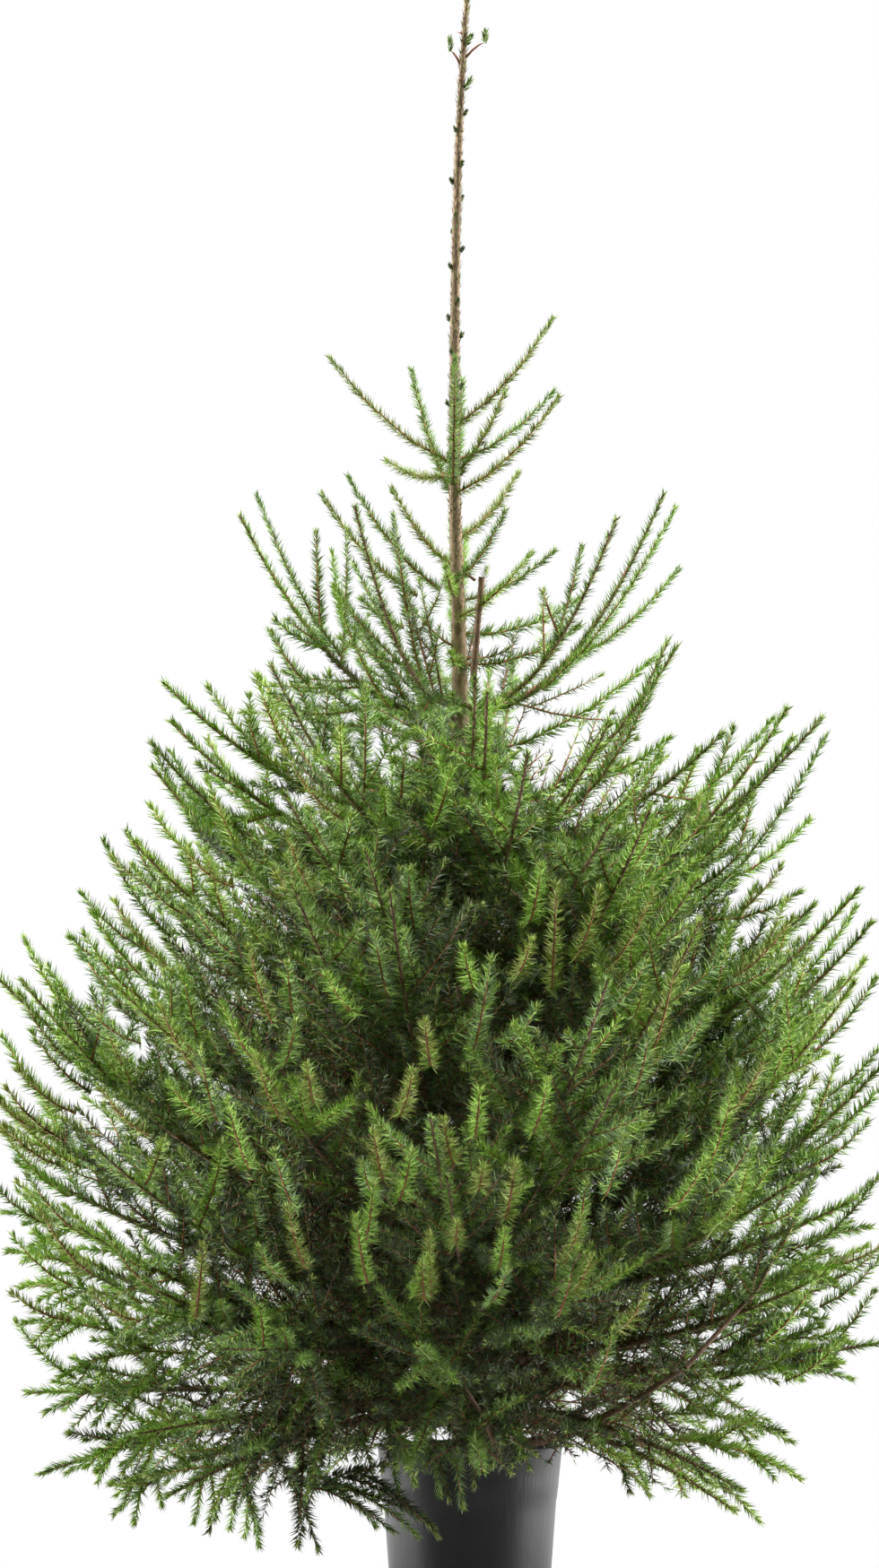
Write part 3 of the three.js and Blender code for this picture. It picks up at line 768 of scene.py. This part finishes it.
def grow(dice):
    """All limbs, and all shoots with the kind of each."""
    limbs = all_limbs()
    leads = 1 - np.minimum(LEADING_LENGTH / limbs.length, LEADING_MOST)
    outer = limbs.section(NEEDLES_FROM * leads, leads)
    tips = limbs.section(leads, np.ones(len(limbs)))
    twigs = opened(dice, Shoots.joined([side_shoots(dice, limbs, TWIG_RULE), trunk_shoots(dice)]))
    second = opened(dice, side_shoots(dice, twigs, SECOND_RULE))
    third = opened(dice, side_shoots(dice, second, THIRD_RULE))
    sides = Shoots.joined([twigs, second, third])
    rounds = Shoots.joined([front_shoots(), round_shoots(dice)])
    leaders = Shoots.joined([tips, sky_shoots(), low_sprays(dice)])
    groups = [outer, sides, rounds, leaders, dead_twigs(dice)]
    kind = np.repeat([LIMB, SIDE, ROUND, LEADING, DEAD], [len(group) for group in groups])
    return Shoots.joined([limbs, bare_wood()]), Shoots.joined(groups), kind


def needle_faces(dice, shoots, count, lean, longest, width=NEEDLE_WIDTH, shares=(0, 1)):
    """Corners of three-sided needles round each shoot, few below it, and the shoot that owns each."""
    owner, rank = ranked(count)
    total = len(owner)
    share = shares[0] + (shares[1] - shares[0]) * (rank + dice.random(total)) / count[owner]
    point, tangent = shoots.at(owner, share)
    back = square_to(shoots.back[owner], tangent)
    turn = NEEDLE_FAN * dice.uniform(-1, 1, total)
    outward = back * column(np.cos(turn)) + np.cross(tangent, back) * column(np.sin(turn))
    radius = shoots.root[owner] + (shoots.tip - shoots.root)[owner] * share
    point = point + outward * column(NEEDLE_SEAT * radius)
    jitter = dice.uniform(-LEAN_JITTER, LEAN_JITTER, total)
    tilt = np.radians(lean[0] + (lean[1] - lean[0]) * share**LEAN_POWER + jitter)
    direction = tangent * column(np.cos(tilt)) + outward * column(np.sin(tilt))
    length = np.broadcast_to(longest, len(shoots))[owner] * dice.uniform(*NEEDLE_VARY, total)
    end = point + direction * column(length * (1 - TIP_SHORTER * share**TIP_POWER))
    flat = square_to(dice.normal(size=(total, 3)), direction) * width / 2
    return np.stack([point - flat, point + flat, end], axis=1), owner


def ring_rows(shoots, share, sides, relief=1.0):
    """A ring of points round every shoot at a share of its length, an array for each corner."""
    number = len(shoots)
    point, tangent = shoots.at(np.arange(number), np.full(number, share))
    back = square_to(shoots.back, tangent)
    side = np.cross(tangent, back)
    radius = shoots.root + (shoots.tip - shoots.root) * share
    reach = radius * np.broadcast_to(relief, (sides, number))
    turns = np.arange(sides) * 2 * math.pi / sides
    return [
        point + (back * math.cos(turn) + side * math.sin(turn)) * column(out)
        for turn, out in zip(turns, reach)
    ]


def band_faces(rings, sides):
    """Four-sided faces between rings that lie one after another."""
    ring = np.arange(rings - 1)[:, None] * sides
    i = np.arange(sides)[None]
    j = (i + 1) % sides
    faces = np.stack([ring + i, ring + j, ring + sides + j, ring + sides + i], axis=-1)
    return faces.reshape(-1, 4)


def repeated(faces, number, stride):
    """The faces of many like pieces whose corners lie one piece after another."""
    offsets = np.arange(number)[:, None, None] * stride
    return (faces[None] + offsets).reshape(-1, faces.shape[1])


def tube_faces(shoots, rings, sides):
    """A tapering tube along each shoot, closed to a point at its tip."""
    rows = [row for ring in range(rings) for row in ring_rows(shoots, ring / rings, sides)]
    vertices = np.stack([*rows, shoots.ends()], axis=1)
    body = band_faces(rings, sides)[:, [0, 1, 2, 0, 2, 3]].reshape(-1, 3)
    tip = rings * sides
    i = np.arange(sides)
    cap = np.stack([tip - sides + i, tip - sides + (i + 1) % sides, np.full(sides, tip)], axis=1)
    return vertices.reshape(-1, 3), repeated(np.concatenate([body, cap]), len(shoots), tip + 1)


def lathe_faces(profile, sides):
    """An open profile of (radius, height) pairs turned about the Z axis."""
    profile = np.array(profile)
    ring = level(np.arange(sides) * 2 * math.pi / sides)
    vertices = profile[:, None, :1] * ring[None] + profile[:, None, 1:] * UP
    return vertices.reshape(-1, 3), band_faces(len(profile), sides)


def add_mesh(name, vertices, faces, materials, indices=None, smooth=False):
    """A joined mesh from arrays of corners and of faces with equal numbers of corners."""
    mesh = bpy.data.meshes.new(name)
    number, corners = faces.shape
    mesh.vertices.add(len(vertices))
    mesh.vertices.foreach_set("co", np.ascontiguousarray(vertices, np.float32).ravel())
    mesh.loops.add(number * corners)
    mesh.loops.foreach_set("vertex_index", np.ascontiguousarray(faces, np.int32).ravel())
    mesh.polygons.add(number)
    mesh.polygons.foreach_set("loop_start", np.arange(number, dtype=np.int32) * corners)
    for material in materials:
        mesh.materials.append(material)
    if indices is not None:
        mesh.polygons.foreach_set("material_index", np.asarray(indices, np.int32))
    mesh.polygons.foreach_set("use_smooth", np.full(number, smooth))
    mesh.update(calc_edges=True)
    piece = bpy.data.objects.new(name, mesh)
    bpy.context.scene.collection.objects.link(piece)
    return piece


def dress(piece, slot, *nodes):
    """Puts a piece on the part's one body, in the place of solids where it stands for some."""
    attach(piece, "root")
    if nodes:
        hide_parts(*nodes)


def connect(tree, node, inputs):
    """Sets a node's sockets to values, or links them to other nodes' outputs."""
    for socket, value in inputs.items():
        if isinstance(value, bpy.types.NodeSocket):
            tree.links.new(value, node.inputs[socket])
        else:
            node.inputs[socket].default_value = value


def add_node(tree, kind, inputs):
    node = tree.nodes.new(f"ShaderNode{kind}")
    connect(tree, node, inputs)
    return node


def new_material(name):
    material = bpy.data.materials.new(name)
    material.use_nodes = True
    return material, material.node_tree, material.node_tree.nodes["Principled BSDF"]


def plain_material(name, finish):
    material, tree, shader = new_material(name)
    connect(tree, shader, {
        "Base Color": (*finish.colour, 1),
        "Roughness": finish.roughness,
        "Specular IOR Level": finish.specular,
    })
    return material


def patterned_material(name, pattern):
    """Two colours mixed by noise that is stretched along Z, with a bump from finer noise."""
    material, tree, shader = new_material(name)
    own = add_node(tree, "TexCoord", {}).outputs["Object"]
    mapping = add_node(tree, "Mapping", {"Vector": own, "Scale": (1, 1, pattern.stretch)})
    stretched = mapping.outputs["Vector"]
    noise = add_node(tree, "TexNoise", {
        "Vector": stretched, "Scale": pattern.scale, "Detail": NOISE_DETAIL, "Roughness": NOISE_ROUGHNESS,
    })
    ramp = add_node(tree, "ValToRGB", {"Fac": noise.outputs["Fac"]})
    for index, colour in enumerate((pattern.dark, pattern.light)):
        ramp.color_ramp.elements[index].position = PATTERN_ENDS[index]
        ramp.color_ramp.elements[index].color = (*colour, 1)
    fine = add_node(tree, "TexNoise", {
        "Vector": stretched, "Scale": BUMP_FINER * pattern.scale, "Detail": BUMP_DETAIL,
    })
    relief = add_node(tree, "Bump", {
        "Height": fine.outputs["Fac"], "Strength": pattern.bump, "Distance": BUMP_DEPTH,
    })
    connect(tree, shader, {
        "Base Color": ramp.outputs["Color"],
        "Normal": relief.outputs["Normal"],
        "Roughness": pattern.roughness,
    })
    return material


def body_radius(height):
    return POT_BASE_RADIUS + (POT_RIM_RADIUS - COLLAR_STEP - POT_BASE_RADIUS) / POT_HEIGHT * height


def make_pot():
    collar = POT_HEIGHT - COLLAR_HEIGHT
    foot = [(POT_BASE_RADIUS + past, height) for past, height in FOOT]
    wall = [(body_radius(z), z) for z in np.linspace(POT_EDGE, collar - WALL_BELOW_COLLAR, WALL_POINTS)]
    ledge = [(body_radius(collar) + share * COLLAR_STEP, collar + past) for share, past in LEDGE]
    rim = [(POT_RIM_RADIUS + past, POT_HEIGHT + above) for past, above in RIM]
    heights = (POT_HEIGHT - INSIDE_BELOW_RIM, SOIL_LEVEL - INSIDE_BELOW_SOIL)
    inside = [(body_radius(z) - POT_WALL, z) for z in heights]
    profile = [(POT_CENTRE, BASE_RECESS), *foot, *wall, *ledge, *rim, *inside]
    vertices, faces = lathe_faces(profile, POT_SIDES)
    plastic = patterned_material("pot_plastic", POT_PLASTIC)
    dress(add_mesh("pot_shell", vertices, faces, [plastic], smooth=True), "pot", "pot")


def make_soil(dice):
    radius = body_radius(SOIL_LEVEL) - POT_WALL - SOIL_GAP
    profile = [
        (radius * share, SOIL_LEVEL - SOIL_FALL * max(0, share - SOIL_FLAT) / (1 - SOIL_FLAT))
        for share in np.linspace(SOIL_CENTRE, 1, SOIL_RINGS)
    ]
    vertices, faces = lathe_faces(profile, SOIL_SECTORS)
    vertices[:, 2] += dice.normal(0, SOIL_ROUGHNESS, len(vertices))
    compost = patterned_material("soil", COMPOST)
    dress(add_mesh("soil_surface", vertices, faces, [compost]), "soil", "soil")


def make_trunk(dice):
    share = np.linspace(0, 1, TRUNK_RINGS) ** RING_POWER
    height = TRUNK_FOOT + (LEADER_TIP - TRUNK_FOOT) * share
    profile = np.stack([trunk_radius(height), height], axis=1)
    vertices, faces = lathe_faces(profile, TRUNK_SIDES)
    turn = np.arctan2(vertices[:, 1], vertices[:, 0])
    relief = np.zeros(len(vertices))
    for _ in range(RIDGES):
        waves = dice.integers(*RIDGE_WAVES)
        pitch = dice.uniform(*RIDGE_PITCH)
        phase = dice.uniform(*RIDGE_PHASE)
        relief += np.abs(np.sin(waves * turn + pitch * vertices[:, 2] + phase)) - RIDGE_MEAN
    vertices[:, :2] *= column(1 + RIDGE_DEPTH * relief)
    vertices[:, 0] += trunk_offset(vertices[:, 2])
    bark = patterned_material("bark", TRUNK_BARK)
    dress(add_mesh("trunk_bark", vertices, faces, [bark], smooth=True), "bark", "trunk")


def make_boughs(dice, limbs):
    """Every limb from the trunk's middle to its tip, with a rough bark."""
    number = len(limbs)
    rows = []
    for ring in range(BOUGH_RINGS):
        relief = 1 + dice.uniform(-BOUGH_ROUGHNESS, BOUGH_ROUGHNESS, (BOUGH_SIDES, number))
        rows += ring_rows(limbs, ring / (BOUGH_RINGS - 1), BOUGH_SIDES, relief)
    vertices = np.stack(rows, axis=1).reshape(-1, 3)
    faces = repeated(band_faces(BOUGH_RINGS, BOUGH_SIDES), number, BOUGH_RINGS * BOUGH_SIDES)
    bark = patterned_material("bough_bark", BOUGH_BARK)
    boughs = add_mesh("boughs", vertices, faces, [bark], smooth=True)
    bare = range(BARE_FROM_TIER, len(TIERS) + 1)
    dress(boughs, "bark", *[f"whorl_{n}_bough_{k + 1}" for n in bare for k in range(TIERS[n - 1].count)])


def dealt(dice, palette, number):
    """Colours drawn from a palette, as their places in the list of names."""
    return dice.choice([COLOUR_NAMES.index(name) for name in palette], number)


def spray_colours(dice, shoots, kind, zone):
    """Spray colours: dark inside the crown, mixed greens outside, muted at the top, painted shade low down
    and in the middle.
    """
    number = len(shoots)
    # Painted shade: a band through the crown's middle across X, below the loose top tiers, is dealt darker
    # colours
    middle = np.clip(1 - np.abs(shoots.ends()[:, 0] - CROWN_SHIFT) / MIDDLE_SHADE_WIDTH, 0, 1)
    middle *= shoots.tier > LOOSE_TIER
    # Painted shade: the lowest tiers are dealt darker colours
    reach = zone + LEADING_LIGHTER * (kind == LEADING) - LOW_PAINTED_SHADE * (shoots.tier > LOW_TIER)
    reach = reach - MIDDLE_PAINTED_SHADE * middle + dice.normal(0, ZONE_JITTER, number)
    places = [reach < INNER_END, reach > OUTER_START, kind == ROUND, shoots.tier <= TOP_TIER]
    colour = dealt(dice, MIDDLE_GREENS, number)
    for place, palette in zip(places, (INNER_GREENS, OUTER_GREENS, ROUND_GREENS, TOP_GREENS)):
        colour = np.where(place, dealt(dice, palette, number), colour)
    rusty = (shoots.tier > RUST_TIER) & (zone < RUST_ZONE) & (dice.random(number) < RUST_SHARE)
    return np.where(rusty, COLOUR_NAMES.index("rust"), colour)


def mixed(dice, colours):
    """Colours of needles, with a share of them a step lighter."""
    steps = np.array([COLOUR_NAMES.index(LIGHTER.get(name, name)) for name in COLOUR_NAMES])
    return np.where(dice.random(len(colours)) < LIGHTER_SHARE, steps[colours], colours)


def needle_zones(shoots, kind):
    """How far out each shoot ends, with limbs' ends and upper tiers taken as outer ones."""
    zone = np.where(kind == LEADING, 1.0, zone_of(shoots.ends()))
    zone = np.where(shoots.tier <= LOOSE_TIER, np.maximum(zone, ZONES[-1]), zone)
    return np.where(kind == DEAD, 0.0, zone)


def needle_counts(shoots, kind, zone):
    """Needles for each shoot, by its length, its zone and the share that is kept."""
    wanted = shoots.length * np.interp(zone, ZONES, ZONE_NEEDLES) * (kind != DEAD)
    wanted *= np.where(shoots.tier <= FINE_TIER, TOP_SHARE, 1.0)
    wanted *= np.where(kind == SIDE, kept_shares(shoots)[1], 1.0)
    return np.round(wanted * NEEDLE_TOTAL / wanted.sum()).astype(int)


def needle_size(tier):
    if tier <= FINE_TIER:
        return TOP_NEEDLE, TOP_WIDTH
    return LOW_NEEDLE if tier > LOW_TIER else NEEDLE_LENGTH, NEEDLE_WIDTH


def tier_needles(dice, foliage, number):
    """Corners and colours of a tier's needles and tufts."""
    shoots, own_tier = foliage.shoots, foliage.shoots.tier == number
    longest, width = needle_size(number)
    corners, colours = [], []
    for chosen, lean in NEEDLE_LEANS.items():
        own = own_tier & (foliage.kind == chosen)
        grown, owner = needle_faces(dice, shoots.part(own), foliage.count[own], lean, longest, width)
        corners.append(grown)
        colours.append(mixed(dice, foliage.colour[own][owner]))
    tips = shoots.part(own_tier & (foliage.zone > TUFT_ZONE))
    count = np.full(len(tips), TUFT_NEEDLES)
    grown, owner = needle_faces(dice, tips, count, TUFT_LEAN, TUFT_LENGTH, width, TUFT_SHARES)
    corners.append(grown)
    tuft = TOP_TUFT if number <= TOP_TIER else TUFT_COLOUR
    colours.append(np.full(len(owner), COLOUR_NAMES.index(tuft)))
    return np.concatenate(corners), np.concatenate(colours)


def add_needles(name, corners, colours, materials):
    faces = np.arange(3 * len(corners)).reshape(-1, 3)
    return add_mesh(name, corners.reshape(-1, 3), faces, materials, colours)


def make_foliage(dice, shoots, kind, materials):
    """Needles and twigs, in one piece of each for every tier."""
    zone = needle_zones(shoots, kind)
    count = needle_counts(shoots, kind, zone)
    foliage = Foliage(shoots, kind, zone, count, spray_colours(dice, shoots, kind, zone))
    wood = plain_material("twig_wood", TWIG_WOOD)
    for number, tier in enumerate(TIERS, 1):
        corners, colours = tier_needles(dice, foliage, number)
        needles = add_needles(f"needles_whorl_{number}", corners, colours, materials)
        dress(needles, "needles", *[f"whorl_{number}_foliage_{k + 1}" for k in range(tier.count)])
        vertices, faces = tube_faces(shoots.part(shoots.tier == number), TWIG_RINGS, TWIG_SIDES)
        dress(add_mesh(f"twigs_whorl_{number}", vertices, faces, [wood], smooth=True), "bark")


def leader_needles(dice):
    """Needles close along the leader, faded above and greener low down."""
    shoots = leader_shoots()
    count = np.linspace(*LEADER_NEEDLES, len(shoots)).astype(int)
    corners, owner = needle_faces(dice, shoots, count, LEADER_LEAN, LEADER_NEEDLE, TOP_WIDTH)
    number = len(owner)
    low = dice.random(number) > (owner - LEADER_GREEN) / LEADER_FADING
    colours = np.where(low, dealt(dice, LEADER_LOW, number), dealt(dice, LEADER_HIGH, number))
    patches = dealt(dice, LEADER_PATCHES, len(shoots))
    return corners, np.where(dice.random(number) < LEADER_PATCH, patches[owner], colours)


def bud_scales(dice):
    """The scales of the buds, greener on the large ones."""
    shoots = bud_shoots()
    count = np.full(len(shoots), BUD_SCALES)
    corners, owner = needle_faces(dice, shoots, count, BUD_LEAN, BUD_SHARE * shoots.length)
    number = len(owner)
    large = owner < len(TWIG_BUDS) + len(LARGE_BUDS)
    green, dark = dealt(dice, LARGE_BUD_GREENS, number), dealt(dice, SMALL_BUD_GREENS, number)
    return corners, np.where(large, green, dark)


def make_leader(dice, materials):
    groups = [leader_needles(dice), bud_scales(dice)]
    corners, colours = [np.concatenate(arrays) for arrays in zip(*groups)]
    dress(add_needles("needles_leader", corners, colours, materials), "needles")


def make_camera():
    data = bpy.data.cameras.new("camera")
    data.lens = data.sensor_width * CAMERA_DISTANCE / (PIXEL * PHOTO_HEIGHT)
    data.clip_end = CAMERA_END
    camera = bpy.data.objects.new("camera", data)
    camera.location = from_photo(PHOTO_WIDTH / 2, PHOTO_HEIGHT / 2, -CAMERA_DISTANCE)
    camera.rotation_euler = (math.pi / 2, 0, 0)
    bpy.context.scene.collection.objects.link(camera)
    bpy.context.scene.camera = camera


def math_node(tree, operation, *values):
    node = add_node(tree, "Math", dict(enumerate(values)))
    node.operation = operation
    return node.outputs["Value"]


def light_strength(tree):
    """The light's strength by its direction: a curve from front to back, raised towards the top."""
    coords = add_node(tree, "TexCoord", {})
    split = add_node(tree, "SeparateXYZ", {"Vector": coords.outputs["Generated"]})
    depth = add_node(tree, "MapRange", {"From Min": -1, "Value": split.outputs["Y"]})
    ramp = add_node(tree, "FloatCurve", {"Value": depth.outputs["Result"]})
    points = ramp.mapping.curves[0].points
    for where, strength in LIGHT_CURVE[2:]:
        points.new(where, strength / LIGHT_TOP)
    for point, (where, strength) in zip(points, LIGHT_CURVE):
        point.location = (where, strength / LIGHT_TOP)
    ramp.mapping.update()
    level_light = math_node(tree, "MULTIPLY", ramp.outputs["Value"], LIGHT_TOP)
    raised = math_node(tree, "MULTIPLY_ADD", split.outputs["Z"], LIGHT_ABOVE, 1)
    return math_node(tree, "MULTIPLY", level_light, raised)


def make_surround():
    """A white surround that lights the tree from its sides and back more than from the front."""
    world = bpy.data.worlds.new("surround")
    bpy.context.scene.world = world
    world.use_nodes = True
    tree = world.node_tree
    tree.nodes.clear()
    light = add_node(tree, "Background", {"Color": WHITE, "Strength": light_strength(tree)})
    seen = add_node(tree, "Background", {"Color": WHITE})
    path = add_node(tree, "LightPath", {})
    mix = add_node(tree, "MixShader", {
        "Fac": path.outputs["Is Camera Ray"], 1: light.outputs["Background"], 2: seen.outputs["Background"],
    })
    add_node(tree, "OutputWorld", {"Surface": mix.outputs["Shader"]})
    bpy.context.scene.view_settings.view_transform = "Standard"


def make_floor():
    profile = [(FLOOR_CENTRE, -FLOOR_DROP), (FLOOR_RADIUS, -FLOOR_DROP)]
    vertices, faces = lathe_faces(profile, FLOOR_SIDES)
    floor = add_mesh("floor", vertices, faces, [plain_material("floor", FLOOR_PAPER)])


def main():
    dice = np.random.default_rng(GROWTH_SEED)
    make_camera()
    make_surround()
    make_floor()
    make_pot()
    make_soil(dice)
    make_trunk(dice)
    limbs, shoots, kind = grow(dice)
    make_boughs(dice, limbs)
    materials = [
        plain_material(f"needles_{name}", Finish(colour, *NEEDLE_SHEEN))
        for name, colour in NEEDLE_COLOURS.items()
    ]
    make_foliage(dice, shoots, kind, materials)
    make_leader(dice, materials)


main()
